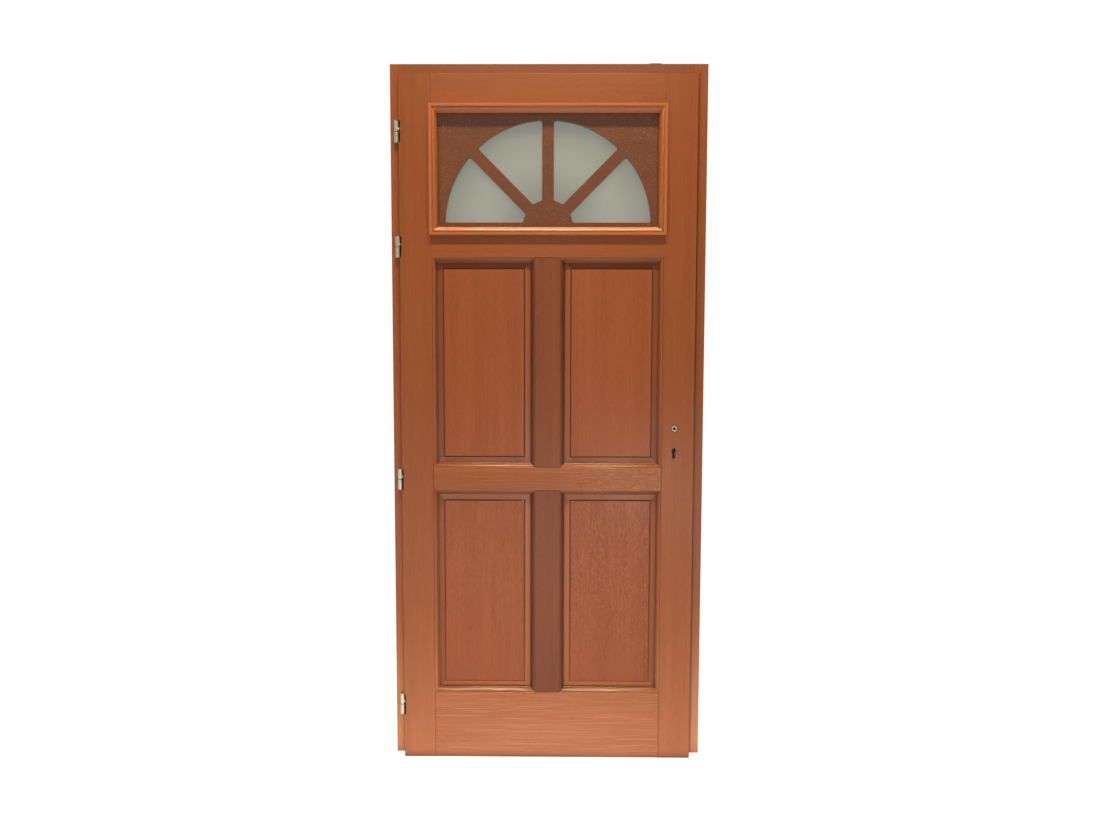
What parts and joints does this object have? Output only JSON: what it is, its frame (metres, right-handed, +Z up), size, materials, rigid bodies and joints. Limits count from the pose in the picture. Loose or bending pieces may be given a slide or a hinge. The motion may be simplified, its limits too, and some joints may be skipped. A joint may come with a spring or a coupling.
{
  "type": "panelled front door",
  "caption": "Panelled wood front door leaf with a glazed sunburst window, hung in its rebated frame on screw-in barrel hinges, with a mortise lock.",
  "frame": {"origin": "centre of the footprint, at the underside of the closed leaf", "axes": "+Z up, +X from the hinge side to the lock side, -Y out of the face that carries the hinges"},
  "size_m": [0.965, 0.085, 2.164],
  "materials": {
    "frame_wood": "satin varnish over a mahogany stain",
    "leaf_wood": "satin varnish over a mahogany stain",
    "panel_wood": "satin varnish over a mahogany stain",
    "muntin_wood": "satin varnish over a mahogany stain",
    "board_wood": "satin varnish over a mahogany stain",
    "bead_wood": "satin varnish over a mahogany stain",
    "clear_glass": "polished",
    "satin_glass": "satin etched",
    "hinge_nickel": "satin nickel plate",
    "lock_nickel": "satin nickel plate",
    "case_steel": "zinc plated",
    "screw_steel": "zinc plated",
    "lug_steel": "dark brown paint",
    "seal_rubber": "matt"
  },
  "bodies": {
    "frame": {"hinge_jamb": "frame_wood", "lock_jamb": "frame_wood", "head_jamb": "frame_wood", "hinge_side_seal": "seal_rubber", "lock_side_seal": "seal_rubber", "head_seal": "seal_rubber", "strike_plate": "lock_nickel", "strike_screws": "screw_steel", "head_lug": "lug_steel", "lug_screws": "screw_steel", "frame_hinge_a": "hinge_nickel", "frame_hinge_b": "hinge_nickel", "frame_hinge_c": "hinge_nickel", "frame_hinge_d": "hinge_nickel"},
    "leaf": {"hinge_stile": "leaf_wood", "lock_stile": "leaf_wood", "top_rail": "leaf_wood", "frieze_rail": "leaf_wood", "mid_rail": "leaf_wood", "bottom_rail": "leaf_wood", "upper_muntin": "muntin_wood", "lower_muntin": "muntin_wood", "upper_left_panel": "panel_wood", "upper_right_panel": "panel_wood", "lower_left_panel": "panel_wood", "lower_right_panel": "panel_wood", "sunburst_board": "board_wood", "front_glass": "clear_glass", "back_glass": "satin_glass", "front_bead_top": "bead_wood", "front_bead_foot": "bead_wood", "front_bead_left": "bead_wood", "front_bead_right": "bead_wood", "back_bead_top": "bead_wood", "back_bead_foot": "bead_wood", "back_bead_left": "bead_wood", "back_bead_right": "bead_wood", "lock_case": "case_steel", "lock_faceplate": "lock_nickel", "faceplate_screws": "screw_steel", "leaf_hinge_a": "hinge_nickel", "leaf_hinge_b": "hinge_nickel", "leaf_hinge_c": "hinge_nickel", "leaf_hinge_d": "hinge_nickel"},
    "follower": {"lock_follower": "lock_nickel"},
    "latch": {"latch_bolt": "lock_nickel"},
    "bolt": {"dead_bolt": "lock_nickel"}
  },
  "joints": [
    {"name": "leaf_swing", "type": "hinge", "parent": "frame", "child": "leaf", "pos_m": [-0.4633, -0.0225, 0], "axis": [0, 0, -1], "range_deg": [0, 165]},
    {"name": "follower_turn", "type": "hinge", "parent": "leaf", "child": "follower", "pos_m": [0.3925, -0.0005, 1.054], "axis": [0, 1, 0], "range_deg": [0, 40]},
    {"name": "latch_slide", "type": "slide", "parent": "leaf", "child": "latch", "axis": [1, 0, 0], "range_m": [0, 0.011]},
    {"name": "dead_bolt_slide", "type": "slide", "parent": "leaf", "child": "bolt", "axis": [1, 0, 0], "range_m": [0, 0.02]}
  ],
  "couplings": [
    {"joint": "follower_turn", "follows": "latch_slide", "rad_per_m": 63}
  ]
}
